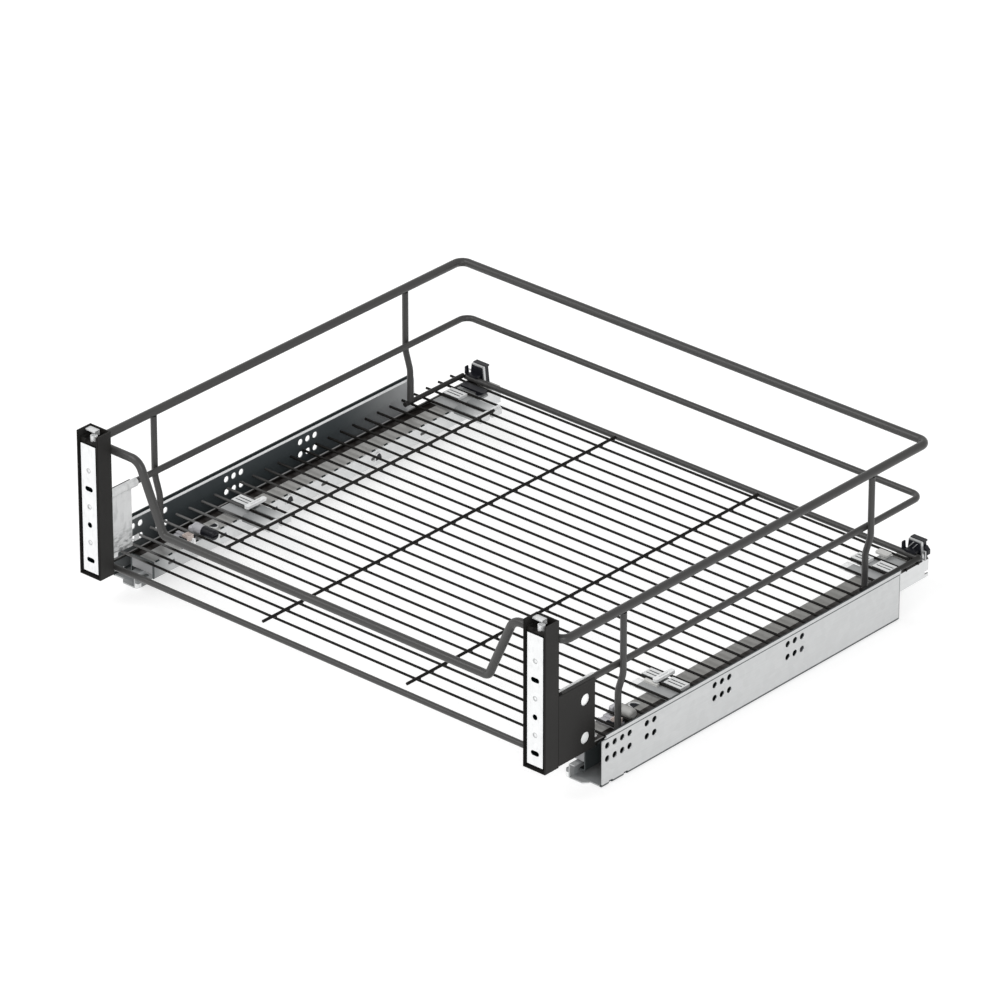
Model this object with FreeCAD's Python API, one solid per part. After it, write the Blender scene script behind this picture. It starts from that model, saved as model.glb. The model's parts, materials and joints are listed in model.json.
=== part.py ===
import FreeCAD, Part
import math
import os

from FreeCAD import Vector

# Pull-out wire drawer on two concealed slides, in millimetres.
# X runs across the cabinet, Y into it from the back of the front panel, Z up from the slides' underside.
# The right half is modelled and mirrored; each solid is moved at the end so that the origin is at the
# middle of the unit's footprint.

os.makedirs("parts", exist_ok=True)

# Whole unit
cabinet_inner_width = 568.0
back_y = 497.0
weld_gap = 0.02
seat_gap = 0.05
slide_gap = 0.3
past = 1.0

# Wire diameters
rail_wire = 7.8
mid_rail_wire = 5.8
low_wire = 5.6
post_wire = 5.8
carrier_wire = 2.6
rear_side_wire = 4.6
rod_wire = 2.8
mid_wire = 2.8
cross_wire = 2.3

# Basket
basket_height = 115.2
mid_rail_height = 60.9
dip_height = 52.6
rail_corner = 9.0
rail_front_corner = 8.0
rail_end_inset = 13.3
dip_top_x = 214.5
dip_low_x = 186.6
dip_top_bend = 13.0
dip_low_bend = 6.5
mid_rail_corner = 9.5
mid_rail_end_gap = 6.8
front_wire_gap = 2.1
carrier_inset = 0.8
back_wire_overhang = 1.6
cross_count = 28
cross_first_y = 48.9
cross_back_gap = 6.1
cross_left_gap = 6.5
cross_right_gap = 16.5
mid_wire_x = 83.0
mid_wire_overhang = 14.9
rod_inset = 36.1
rod_start_wire_count = 4
rod_end_wire_count = 25
rod_overhang = 3.4
front_post_wire_count = 3
front_post_offset = 1.5
rear_post_wire_count = 23
rear_side_offset = 3.6
rear_side_overhang = 6.0
post_jog = 5.5
post_jog_drop = 7.5
post_jog_length = 18.0
post_bend = 24.0

# Slide sheet and cabinet profile
sheet = 1.2
sheet_bend = 0.4
plate_height = 49.2
plate_front_y = 55.0
plate_length = 391.3
slide_web_width = 33.0
hem_height = 5.4
hem_start = 0.8
hem_step = 1.2
hem_slope = 1.8
hem_bend = 0.2
hem_setback = 4.0
upstand_height = 14.0
upstand_nose = 5.5
web_tongue_width = 18.6
tongue_chamfer = 4.0
lip_width = 6.6
hole_diameter = 6.0
hole_pitch = 9.5
hole_row_pitch = 12.4
hole_low_z = 25.4
hole_group_setbacks = (20.5, 61.5, 153.8, 249.8)
hole_column_counts = (4, 2, 3, 3)
edge_notch_width = 5.0
edge_notch_height = 3.4
edge_notch_setbacks = (11.0, 30.0)

# Roller cages
lower_roller = 6.1
lower_roller_length = 6.0
lower_cage_setback = 102.0
lower_roller_count = 9
upper_roller = 4.65
upper_roller_length = 8.0
upper_cage_setback = 112.0
upper_roller_count = 10
roller_pitch = 20.0
roller_gap = 0.15
cage_thickness = 2.0
cage_end = 9.0
pocket_gap = 0.2

# Middle profile
middle_setback = 14.5
middle_length = 400.0
middle_side_gap = 0.4
middle_inner_gap = 1.6
middle_inner_wall = 11.4
middle_return = 4.6
lip_capture_gap = 2.6
return_gap = 0.8
wrap_gap = 2.4

# Drawer profile
member_width = 27.2
member_front_y = 57.0
member_tail = 1.9
member_inner_wall = 16.2
member_return = 6.0
member_slot_length = 9.0
member_slot_height = 3.2
member_slot_pitch = 65.5
member_slot_setback = 23.0
member_slot_count = 6
member_slot_drop = 8.0
rear_taper_length = 64.0
rear_taper_start = 2.2
rear_taper_height = 2.8
rear_notch_length = 5.0
rear_notch_height = 3.0

# Soft-close damper
damper_side_gap = 0.4
damper_plate_gap = 2.0
damper_height = 13.4
damper_length = 104.0
damper_rear_gap = 6.3
damper_round = 3.0
damper_rod = 4.0
damper_piston = 6.2
damper_piston_length = 6.0
damper_rod_inside = 52.0
damper_gland = 6.0
damper_end_room = 4.0
damper_fit = 0.08
buffer_diameter = 9.0
buffer_length = 8.0
buffer_chamfer = 1.0
buffer_shut_gap = 8.0
lug_length = 4.0
lug_height = 7.0
lug_past_axis = 0.4

# Front guide at the foot of the cabinet profile
guide_thickness = 3.6
guide_length = 15.0
guide_clear = 1.6
guide_round = 1.5

# Front coupling with release trigger and height wheel
coupling_wire_count = 3
coupling_side_gap = 1.5
coupling_width = 21.0
coupling_wire_gap = 0.4
bay_gap = 0.9
key_width = 5.0
key_depth = 1.2
key_gap = 0.2
key_end = 1.0
trigger_length = 7.4
trigger_width = 8.4
trigger_height = 4.2
trigger_round = 1.2
trigger_groove_count = 3
trigger_groove_width = 1.0
trigger_groove_depth = 0.7
wheel_diameter = 9.4
wheel_length = 15.0
wheel_round = 2.6
wheel_slot_width = 1.6
wheel_slot_depth = 1.2
wheel_neck = 1.5
wheel_shaft = 4.0
wheel_fit = 0.08
wheel_lift = 0.34
knob_wire_gap = 0.6
boss_length = 8.5
boss_wall = 2.5
ear_length = 4.0
ear_rise = 2.4
ear_round = 1.5

# Basket clips with quarter-turn locks
front_clip_wire_count = 8
rear_clip_wire_count = 25
clip_short_reach = 19.5
clip_side_gap = 0.5
clip_wire_gap = 0.6
clip_claw_wall = 1.9
clip_claw_gap = 0.15
clip_claw_rise = 0.8
clip_plate_length = 19.0
clip_groove_count = 2
clip_groove_width = 1.6
clip_groove_end = 1.6
clip_groove_floor = 1.0
arm_drop = 1.0
arm_top_gap = 0.2
arm_wall = 1.3
arm_round = 3.0
arm_rod_gap = 2.0
lock_inset = 1.0
lock_post = 6.0
lock_fit = 0.08
lock_bar_length = 25.0
lock_bar_width = 5.2
lock_bar_height = 3.0
lock_bar_round = 1.8
rear_bar_inner_reach = 8.0
rear_bar_outer_reach = 20.0
rear_bar_short_reach = 6.0
rear_bar_width = 7.5
rear_bar_height = 1.8
lock_lift = 0.3
lock_groove_length = 12.0
lock_groove_width = 1.6
lock_groove_depth = 0.9

# Rear hooks
hook_inset = 11.5
hook_width = 16.0
hook_top_width = 12.0
hook_wire_gap = 0.8
hook_depth = 9.0
hook_height = 17.0
hook_lip_reach = 6.4
hook_lip_thickness = 2.0
hook_lip_width = 11.0
hook_cap_height = 1.6
hook_cap_overhang = 1.4
frame_sheet = 1.0
frame_front_gap = 1.0
frame_depth = 2.4
loop_reach = 4.0
loop_rise = 2.0
loop_height = 9.0

# Front brackets
bracket_side_gap = 16.4
bracket_width = 24.2
bracket_depth = 17.2
bracket_drop = 3.7
bracket_height = 138.8
gusset_length = 45.6
gusset_rise = 1.0
gusset_height = 65.7
gusset_hole_setback = 12.0
gusset_hole_rises = (13.2, 49.4)
gusset_hole = 11.0
strip_inset = 1.2
strip_margin = 2.1
strip_sheet = 1.2
strip_side_gap = 0.2
strip_bottom_gap = 3.0
strip_top_drop = 11.2
strip_slot_rises = (16.0, 85.1)
strip_slot_length = 9.0
strip_slot_width = 4.6
strip_hole_rise = 50.2
strip_hole = 5.2
strip_dimple_rises = (33.1, 67.7, 102.9)
strip_dimple = 5.0
strip_dimple_depth = 0.5
hanger_rise = 1.1
hanger_front_gap = 0.8
hanger_sheet = 1.2
sleeve_overhang = 3.2
sleeve_gap = 0.1
clamp_sheet = 1.5
clamp_height = 4.2
clamp_mouth = 8.0
adjust_screw = 5.0
adjust_screw_length = 22.0
adjust_head = 6.6
adjust_head_height = 5.0
adjust_socket = 4.0
adjust_socket_depth = 2.2
adjust_hole_gap = 0.3

# Slide section, from the cabinet's side inwards and from the web up
half_width = cabinet_inner_width / 2
plate_outer_x = half_width - hem_step
plate_inner_x = plate_outer_x - sheet
plate_rear_y = plate_front_y + plate_length
upstand_x = half_width - slide_web_width
upstand_front_y = plate_front_y - upstand_nose
lip_outer_x = upstand_x - sheet / 2 + lip_width
middle_front_y = upstand_front_y + middle_setback
middle_outer_x = lip_outer_x + middle_side_gap + sheet
middle_inner_x = upstand_x - sheet / 2 - middle_inner_gap - sheet
middle_under_z = upstand_height + lower_roller + 2 * roller_gap
middle_top_z = middle_under_z + sheet
middle_return_z = upstand_height - sheet - lip_capture_gap - sheet
member_outer_x = middle_outer_x + wrap_gap + sheet
member_inner_x = member_outer_x - member_width
member_under_z = middle_top_z + upper_roller + 2 * roller_gap
member_top_z = member_under_z + sheet
member_return_z = middle_return_z - return_gap - sheet
seat_z = member_top_z + weld_gap

# Basket's heights, stacked on the drawer profiles
carrier_x = member_outer_x - carrier_inset
carrier_z = seat_z + carrier_wire / 2
low_wire_z = carrier_z + carrier_wire / 2 + weld_gap + low_wire / 2
cross_z = carrier_z + carrier_wire / 2 + weld_gap + cross_wire / 2
cross_top_z = cross_z + cross_wire / 2
cross_bottom_z = cross_z - cross_wire / 2
mid_wire_z = cross_top_z + weld_gap + mid_wire / 2
rod_z = cross_top_z + weld_gap + rod_wire / 2
rod_x = member_inner_x - rod_inset
rear_side_x = carrier_x + rear_side_offset
rear_side_z = cross_top_z + weld_gap + rear_side_wire / 2
mid_rail_z = low_wire_z + mid_rail_height
rail_z = low_wire_z + basket_height
dip_z = low_wire_z + dip_height

# Brackets, and the rails that they set
bracket_outer_x = half_width - bracket_side_gap
bracket_inner_x = bracket_outer_x - bracket_width
bracket_bottom_z = low_wire_z - bracket_drop
bracket_top_z = bracket_bottom_z + bracket_height
gusset_inner_x = bracket_outer_x - sheet
gusset_rear_y = bracket_depth + gusset_length
gusset_bottom_z = bracket_bottom_z + gusset_rise
strip_top_z = bracket_top_z - strip_top_drop
hanger_inner_x = gusset_inner_x - hanger_sheet
hanger_front_y = bracket_depth + hanger_front_gap
mid_rail_half_width = gusset_inner_x - mid_rail_wire / 2 - sleeve_gap
rail_half_width = mid_rail_half_width + mid_rail_wire / 2 + post_wire / 2 + weld_gap
rail_end_x = rail_half_width - rail_end_inset
rail_y = bracket_depth + rail_wire / 2 + seat_gap
front_wire_y = bracket_depth + front_wire_gap + low_wire / 2
cross_pitch = (back_y - cross_back_gap - cross_first_y) / (cross_count - 1)
front_post_y = cross_first_y + front_post_wire_count * cross_pitch - front_post_offset
rear_post_y = cross_first_y + rear_post_wire_count * cross_pitch - cross_wire / 2 - post_wire / 2 - weld_gap

# Rear end
hook_inner_x = member_inner_x + hook_inset
hook_outer_x = hook_inner_x + hook_width
hook_front_y = back_y + low_wire / 2 + hook_wire_gap
hook_rear_y = hook_front_y + hook_depth
hook_top_z = seat_z + hook_height
member_rear_y = hook_rear_y + member_tail

# Damper in the cabinet profile's channel
damper_width = plate_inner_x - member_outer_x - damper_side_gap - damper_plate_gap
damper_x = member_outer_x + damper_side_gap + damper_width / 2
damper_z = sheet + damper_height / 2
damper_front_y = plate_rear_y - damper_rear_gap - damper_length
lug_rear_y = damper_front_y - buffer_shut_gap - buffer_length - slide_gap


def cross_y(index):
    return cross_first_y + index * cross_pitch


def block(x0, x1, y0, y1, z0, z1):
    corner = Vector(min(x0, x1), min(y0, y1), min(z0, z1))
    return Part.makeBox(abs(x1 - x0), abs(y1 - y0), abs(z1 - z0), corner)


def rod(diameter, start, end):
    start = Vector(*start)
    run = Vector(*end) - start
    return Part.makeCylinder(diameter / 2, run.Length, start, run)


def prism(corners, run):
    corners = [Vector(*corner) for corner in corners]
    return Part.Face(Part.makePolygon(corners + corners[:1])).extrude(Vector(*run))


def oblong(length, width, depth, centre, along, through):
    # A slot cutter with round ends, pierced along the direction called through.
    centre, along, through = Vector(*centre), Vector(*along), Vector(*through)
    half = along * ((length - width) / 2)
    base = centre - through * (depth / 2)
    ends = [Part.makeCylinder(width / 2, depth, base + side, through) for side in (half, half * -1)]
    across = through.cross(along) * (width / 2)
    corners = [base + half + across, base - half + across, base - half - across, base + half - across]
    return ends[0].fuse([ends[1], prism(corners, through * depth)]).removeSplitter()


def bent_wire(points, bends, diameter):
    # A round wire along straight runs joined by tangent arcs.
    points = [Vector(*point) for point in points]
    edges = []
    at = points[0]
    for corner, after, bend in zip(points[1:-1], points[2:], bends):
        before = (corner - at).normalize()
        onward = (after - corner).normalize()
        turn = before.getAngle(onward)
        reach = bend * math.tan(turn / 2)
        enter = corner - before * reach
        leave = corner + onward * reach
        inward = (onward - before).normalize()
        middle = corner + inward * (bend / math.cos(turn / 2) - bend)
        edges.append(Part.LineSegment(at, enter).toShape())
        edges.append(Part.Arc(enter, middle, leave).toShape())
        at = leave
    edges.append(Part.LineSegment(at, points[-1]).toShape())
    ring = Part.Wire([Part.makeCircle(diameter / 2, points[0], points[1] - points[0])])
    return Part.Wire(edges).makePipeShell([ring], True, False)


def edge_at(solid, x, z):
    # The edge along Y that lies nearest to a place in the section.
    def distance(edge):
        spot = edge.Vertexes[0].Point
        return math.hypot(spot.x - x, spot.z - z)

    return min(edges_along(solid, (0, 1, 0)), key=distance)


def edges_along(solid, direction):
    direction = Vector(*direction)
    found = []
    for edge in solid.Edges:
        if len(edge.Vertexes) == 2:
            run = edge.Vertexes[1].Point - edge.Vertexes[0].Point
            if abs(run.dot(direction)) > 0.999 * run.Length:
                found.append(edge)
    return found


def folded_sheet(points, thickness, bend, y0, y1):
    # A folded strip of sheet: the section's middle line in X and Z, run from y0 to y1.
    sides = {1: [], -1: []}
    for i, (x, z) in enumerate(points):
        ends = points[max(i - 1, 0):i + 2]
        runs = [(b[0] - a[0], b[1] - a[1]) for a, b in zip(ends, ends[1:])]
        normals = [(-dz / math.hypot(dx, dz), dx / math.hypot(dx, dz)) for dx, dz in runs]
        nx = sum(normal[0] for normal in normals) / len(normals)
        nz = sum(normal[1] for normal in normals) / len(normals)
        offset = thickness / 2 / (nx * nx + nz * nz)
        for side in sides:
            sides[side].append((x + side * nx * offset, y0, z + side * nz * offset))
    solid = prism(sides[1] + sides[-1][::-1], (0, y1 - y0, 0))
    for i in range(1, len(points) - 1):
        (ax, az), (bx, bz), (cx, cz) = points[i - 1:i + 2]
        turn = (bx - ax) * (cz - bz) - (bz - az) * (cx - bx)
        inner = 1 if turn > 0 else -1
        for side in sides:
            x, y, z = sides[side][i]
            radius = bend if side == inner else bend + thickness
            solid = solid.makeFillet(radius, [edge_at(solid, x, z)])
    return solid


def rounded(solid, radius, direction):
    return solid.makeFillet(radius, edges_along(solid, direction))


def save(name, solids):
    footprint = Vector(0, -member_rear_y / 2, 0)
    placed = [solid.translated(footprint) for solid in solids]
    shape = placed[0] if len(placed) == 1 else Part.makeCompound(placed)
    shape.exportStep("parts/" + name + ".step")
    total = sum(solid.Volume for solid in placed)
    print(name, len(placed), "solids", round(total, 1), "mm3", "valid" if shape.isValid() else "not valid")


def mirrored(solid):
    return solid.mirror(Vector(0, 0, 0), Vector(1, 0, 0))


def save_pair(name, *solids):
    # The right piece as modelled, and its mirror image for the left.
    save(name + "_right", solids)
    save(name + "_left", [mirrored(solid) for solid in solids])


# Basket wires
def top_rail():
    x, y, z = rail_half_width, rail_y, rail_z
    end = rail_end_x + weld_gap / 2
    points = [(-end, y, z), (-x, y, z), (-x, back_y, z), (x, back_y, z), (x, y, z), (end, y, z)]
    return bent_wire(points, [rail_front_corner, rail_corner, rail_corner, rail_front_corner], rail_wire)


def front_rail():
    y, end = rail_y, rail_end_x - weld_gap / 2
    points = [(-end, y, rail_z), (-dip_top_x, y, rail_z), (-dip_low_x, y, dip_z),
              (dip_low_x, y, dip_z), (dip_top_x, y, rail_z), (end, y, rail_z)]
    return bent_wire(points, [dip_top_bend, dip_low_bend, dip_low_bend, dip_top_bend], rail_wire)


def mid_rail():
    x, y, z = mid_rail_half_width, bracket_depth + mid_rail_end_gap, mid_rail_z
    points = [(-x, y, z), (-x, back_y, z), (x, back_y, z), (x, y, z)]
    return bent_wire(points, [mid_rail_corner, mid_rail_corner], mid_rail_wire)


def corner_posts():
    top_z = rail_z - rail_wire / 2 - weld_gap
    jog_z = mid_rail_z - post_jog_drop
    feet = ((front_post_y, cross_top_z + weld_gap),
            (rear_post_y, rear_side_z + rear_side_wire / 2 + weld_gap))
    solids = []
    for side in (-1, 1):
        top_x, foot_x = side * rail_half_width, side * (rail_half_width - post_jog)
        for y, foot_z in feet:
            points = [(top_x, y, top_z), (top_x, y, jog_z), (foot_x, y, jog_z - post_jog_length),
                      (foot_x, y, foot_z)]
            solids.append(bent_wire(points, [post_bend, post_bend], post_wire))
    return solids


def cross_wires():
    solids = []
    for i in range(cross_count):
        y = cross_y(i)
        beside_hanger = y - cross_wire / 2 < gusset_rear_y + seat_gap
        left_x, right_x = half_width - cross_left_gap, half_width - cross_right_gap
        if beside_hanger:
            left_x = right_x = hanger_inner_x - slide_gap
        solids.append(rod(cross_wire, (-left_x, y, cross_z), (right_x, y, cross_z)))
    return solids


def crosswise_wire(diameter, reach, y, z):
    return rod(diameter, (-reach, y, z), (reach, y, z))


def lengthwise_wires(diameter, x, y0, y1, z):
    return [rod(diameter, (side * x, y0, z), (side * x, y1, z)) for side in (-1, 1)]


save("top_rail", [top_rail()])
save("front_rail", [front_rail()])
save("mid_rail", [mid_rail()])
save("corner_posts", corner_posts())
save("floor_cross_wires", cross_wires())
save("floor_mid_wires", lengthwise_wires(mid_wire, mid_wire_x, cross_first_y - mid_wire_overhang,
                                         back_y - low_wire / 2 - weld_gap, mid_wire_z))
save("floor_clip_rod", [rod(rod_wire, (-rod_x, cross_y(rod_start_wire_count) - rod_overhang, rod_z),
                            (-rod_x, cross_y(rod_end_wire_count) + rod_overhang, rod_z))])
save("side_carrier_wires", lengthwise_wires(carrier_wire, carrier_x, front_wire_y - low_wire / 2,
                                            back_y + low_wire / 2, carrier_z))
save("rear_side_wires", lengthwise_wires(rear_side_wire, rear_side_x, rear_post_y - rear_side_overhang,
                                         back_y - low_wire / 2 - weld_gap, rear_side_z))
save("back_low_wire", [crosswise_wire(low_wire, carrier_x + carrier_wire / 2 + back_wire_overhang,
                                      back_y, low_wire_z)])
save("front_low_wire", [crosswise_wire(low_wire, hanger_inner_x - weld_gap, front_wire_y, low_wire_z)])


# Cabinet profile of the slide: pierced plate, web, upstand and the lip that the lower rollers run on
def cabinet_profile():
    plate_x = plate_outer_x - sheet / 2
    web_z = sheet / 2
    lip_z = upstand_height - sheet / 2
    hem_z = plate_height - hem_height
    section = [(lip_outer_x, lip_z), (upstand_x, lip_z), (upstand_x, web_z),
               (plate_x, web_z), (plate_x, hem_z)]
    profile = folded_sheet(section, sheet, sheet_bend, upstand_front_y, plate_rear_y)
    slope_z = hem_z + hem_start
    hem_section = [(plate_x, hem_z), (plate_x, slope_z), (plate_x + hem_step, slope_z + hem_slope),
                   (plate_x + hem_step, plate_height)]
    hem = folded_sheet(hem_section, sheet, hem_bend, plate_front_y + hem_setback, plate_rear_y)
    tongue_x = upstand_x - sheet / 2 + web_tongue_width
    cutters = [block(tongue_x, half_width + past, upstand_front_y - past, plate_front_y,
                     -past, plate_height + past)]
    chamfer_x, chamfer_y = tongue_x - tongue_chamfer, upstand_front_y + tongue_chamfer
    cutters.append(prism([(chamfer_x, upstand_front_y, -past), (tongue_x, upstand_front_y, -past),
                          (tongue_x, chamfer_y, -past)], (0, 0, sheet + 2 * past)))
    for setback, columns in zip(hole_group_setbacks, hole_column_counts):
        for column in range(columns):
            y = plate_front_y + setback + (column - (columns - 1) / 2) * hole_pitch
            for z in (hole_low_z, hole_low_z + hole_row_pitch):
                cutters.append(rod(hole_diameter, (plate_inner_x - past, y, z), (half_width + past, y, z)))
    for setback in edge_notch_setbacks:
        y = plate_front_y + setback
        cutters.append(block(plate_inner_x - sheet, half_width + past, y - edge_notch_width / 2,
                             y + edge_notch_width / 2, -past, edge_notch_height))
    return profile.fuse(hem).cut(cutters).removeSplitter()


# Guide on the inner face of the upstand's front end
def front_guide():
    outer_x = upstand_x - sheet / 2
    top_z = middle_top_z - middle_inner_wall - guide_clear
    body = block(outer_x - guide_thickness, outer_x, upstand_front_y, upstand_front_y + guide_length,
                 0, top_z)
    edges = [edge for edge in body.Edges if max(v.X for v in edge.Vertexes) < outer_x - guide_thickness / 2]
    return body.makeFillet(guide_round, edges)


# Middle profile of the slide
def middle_profile():
    inner_x = middle_inner_x + sheet / 2
    outer_x = middle_outer_x - sheet / 2
    top_z = middle_top_z - sheet / 2
    return_z = middle_return_z + sheet / 2
    section = [(inner_x, middle_top_z - middle_inner_wall), (inner_x, top_z), (outer_x, top_z),
               (outer_x, return_z), (outer_x - middle_return, return_z)]
    return folded_sheet(section, sheet, sheet_bend, middle_front_y, middle_front_y + middle_length)


# Drawer profile of the slide, with the lug that works the damper
def drawer_profile():
    inner_x = member_inner_x + sheet / 2
    outer_x = member_outer_x - sheet / 2
    top_z = member_top_z - sheet / 2
    low_z = member_return_z
    section = [(inner_x, member_top_z - member_inner_wall), (inner_x, top_z), (outer_x, top_z),
               (outer_x, low_z + sheet / 2), (outer_x - member_return, low_z + sheet / 2)]
    profile = folded_sheet(section, sheet, sheet_bend, member_front_y, member_rear_y)
    cutters = []
    for i in range(member_slot_count):
        y = member_front_y + member_slot_setback + i * member_slot_pitch
        cutters.append(oblong(member_slot_length, member_slot_height, 2 * sheet + past,
                              (inner_x, y, member_top_z - member_slot_drop), (0, 1, 0), (1, 0, 0)))
    taper_y = member_rear_y - rear_taper_length
    taper_x = member_inner_x + sheet + past
    cutters.append(prism([(taper_x, taper_y, low_z - past), (taper_x, taper_y, low_z + rear_taper_start),
                          (taper_x, member_rear_y + past, low_z + rear_taper_height),
                          (taper_x, member_rear_y + past, low_z - past)], (member_width, 0, 0)))
    notch_z = low_z + rear_taper_height + rear_notch_height
    cutters.append(block(outer_x - sheet, member_outer_x + past, member_rear_y - rear_notch_length,
                         member_rear_y + past, notch_z, notch_z + rear_notch_height))
    lug = block(outer_x, damper_x - lug_past_axis, lug_rear_y - lug_length, lug_rear_y,
                low_z + sheet, low_z + sheet + lug_height)
    return profile.cut(cutters).fuse(lug).removeSplitter()


save_pair("cabinet_profile", cabinet_profile())
save_pair("front_guide", front_guide())
save_pair("middle_profile", middle_profile())
save_pair("drawer_profile", drawer_profile())


# Roller cages between the profiles
def cage(inner_x, outer_x, middle_z, front_y, diameter, length, count):
    middle_x = (inner_x + outer_x) / 2
    low_z, high_z = middle_z - cage_thickness / 2, middle_z + cage_thickness / 2
    strip_length = 2 * cage_end + (count - 1) * roller_pitch
    strip = block(inner_x, outer_x, front_y, front_y + strip_length, low_z, high_z)
    room = diameter / 2 + pocket_gap
    side = length / 2 + pocket_gap
    rollers, pockets = [], []
    for i in range(count):
        y = front_y + cage_end + i * roller_pitch
        rollers.append(rod(diameter, (middle_x - length / 2, y, middle_z),
                           (middle_x + length / 2, y, middle_z)))
        pockets.append(block(middle_x - side, middle_x + side, y - room, y + room,
                             low_z - past, high_z + past))
    return strip.cut(pockets), rollers


lower_cage, lower_rollers = cage(middle_inner_x + sheet + pocket_gap, middle_outer_x - sheet - pocket_gap,
                                 upstand_height + roller_gap + lower_roller / 2,
                                 middle_front_y + lower_cage_setback,
                                 lower_roller, lower_roller_length, lower_roller_count)
upper_cage, upper_rollers = cage(middle_inner_x, middle_outer_x,
                                 middle_top_z + roller_gap + upper_roller / 2,
                                 middle_front_y + upper_cage_setback,
                                 upper_roller, upper_roller_length, upper_roller_count)
save_pair("lower_cage", lower_cage)
save_pair("lower_rollers", *lower_rollers)
save_pair("upper_cage", upper_cage)
save_pair("upper_rollers", *upper_rollers)


# Soft-close damper: a housing on the cabinet profile's web, and a buffer rod that the drawer's lug pushes in
def damper_rod_run(diameter, y0, y1):
    return rod(diameter, (damper_x, y0, damper_z), (damper_x, y1, damper_z))


def damper_housing():
    body = block(damper_x - damper_width / 2, damper_x + damper_width / 2, damper_front_y,
                 damper_front_y + damper_length, sheet, sheet + damper_height)
    gland_y = damper_front_y + damper_gland
    gland = damper_rod_run(damper_rod + 2 * damper_fit, damper_front_y - past, gland_y + past)
    bore = damper_rod_run(damper_piston + 2 * damper_fit, gland_y,
                          damper_front_y + damper_rod_inside + damper_end_room)
    return rounded(body, damper_round, (0, 1, 0)).cut([gland, bore])


def damper_buffer():
    head_y = damper_front_y - buffer_shut_gap
    piston_y = damper_front_y + damper_rod_inside
    head = damper_rod_run(buffer_diameter, head_y - buffer_length, head_y)
    front_edge = min(head.Edges, key=lambda edge: edge.BoundBox.YMax)
    head = head.makeChamfer(buffer_chamfer, [front_edge])
    shaft = damper_rod_run(damper_rod, head_y - buffer_length / 2, piston_y)
    piston = damper_rod_run(damper_piston, piston_y - damper_piston_length, piston_y)
    return head.fuse([shaft, piston]).removeSplitter()


save_pair("damper_housing", damper_housing())
save_pair("damper_buffer", damper_buffer())

# Front coupling's places, in the two bays behind one floor wire
coupling_inner_x = member_inner_x + coupling_side_gap
coupling_outer_x = coupling_inner_x + coupling_width
coupling_top_z = cross_bottom_z - coupling_wire_gap
bay_y0 = cross_y(coupling_wire_count) + cross_wire / 2 + bay_gap
bay_y1 = cross_y(coupling_wire_count + 1) - cross_wire / 2 - bay_gap
trigger_y = (bay_y0 + bay_y1) / 2
wheel_y = trigger_y + cross_pitch
wheel_z = member_top_z + wheel_lift + wheel_diameter / 2
boss_inner_x = coupling_inner_x + slide_gap
boss_outer_x = boss_inner_x + boss_length
ear_outer_x = boss_outer_x + ear_length
right_knob_outer_x = carrier_x - carrier_wire / 2 - knob_wire_gap
right_knob_x = right_knob_outer_x - wheel_length


def wheel_run(diameter, x0, x1):
    return rod(diameter, (x0, wheel_y, wheel_z), (x1, wheel_y, wheel_z))


# Base on the drawer profile, with a groove for the trigger and a bored boss for the wheel's shaft
def front_coupling(ear_x0, boss_end_x):
    ear_x1 = ear_x0 + ear_length
    ear_y0 = wheel_y - (bay_y1 - bay_y0) / 2
    ear_y1 = wheel_y + (bay_y1 - bay_y0) / 2
    base = block(coupling_inner_x, coupling_outer_x, bay_y0, bay_y1, seat_z, coupling_top_z)
    bridge = block(ear_x0, ear_x1, bay_y0, ear_y1, seat_z, coupling_top_z)
    ear = block(ear_x0, ear_x1, ear_y0, ear_y1, seat_z, wheel_z + ear_rise)
    groove = block(coupling_inner_x - past, coupling_outer_x + past, trigger_y - key_width / 2 - key_gap,
                   trigger_y + key_width / 2 + key_gap, coupling_top_z - key_depth - key_gap,
                   coupling_top_z + past)
    body = base.fuse([bridge, ear]).removeSplitter().cut(groove)
    top_edges = [edge for edge in edges_along(body, (1, 0, 0))
                 if min(v.Z for v in edge.Vertexes) > wheel_z + ear_rise - weld_gap]
    body = body.makeFillet(ear_round, top_edges)
    boss = wheel_run(wheel_shaft + 2 * wheel_fit + 2 * boss_wall, (ear_x0 + ear_x1) / 2, boss_end_x)
    bore = wheel_run(wheel_shaft + 2 * wheel_fit, min(ear_x0, boss_end_x) - past,
                     max(ear_x1, boss_end_x) + past)
    return body.fuse(boss).cut(bore)


def release_trigger(x0):
    x1 = x0 + trigger_length
    y0, y1 = trigger_y - trigger_width / 2, trigger_y + trigger_width / 2
    top_z = coupling_top_z + trigger_height
    body = block(x0, x1, y0, y1, coupling_top_z + weld_gap, top_z)
    grooves = []
    for i in range(trigger_groove_count):
        x = x0 + trigger_length * (i + 1) / (trigger_groove_count + 1)
        grooves.append(block(x - trigger_groove_width / 2, x + trigger_groove_width / 2, y0 - past,
                             y1 + past, top_z - trigger_groove_depth, top_z + past))
    key = block(x0 + key_end, x1 - key_end, trigger_y - key_width / 2, trigger_y + key_width / 2,
                coupling_top_z - key_depth, coupling_top_z + trigger_height / 2)
    return rounded(body, trigger_round, (0, 0, 1)).cut(grooves).fuse(key).removeSplitter()


def height_wheel(root_x, direction, shaft_end_x):
    free_x = root_x + direction * wheel_length
    knob = wheel_run(wheel_diameter, root_x, free_x)
    free_edge = max(knob.Edges, key=lambda edge: direction * (edge.BoundBox.XMin + edge.BoundBox.XMax))
    knob = knob.makeFillet(wheel_round, [free_edge])
    slot = block(free_x - direction * wheel_slot_depth, free_x + direction * past, wheel_y - wheel_diameter,
                 wheel_y + wheel_diameter, wheel_z - wheel_slot_width / 2, wheel_z + wheel_slot_width / 2)
    shaft = wheel_run(wheel_shaft, root_x + direction * wheel_neck, shaft_end_x)
    return knob.cut(slot).fuse(shaft).removeSplitter()


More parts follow.
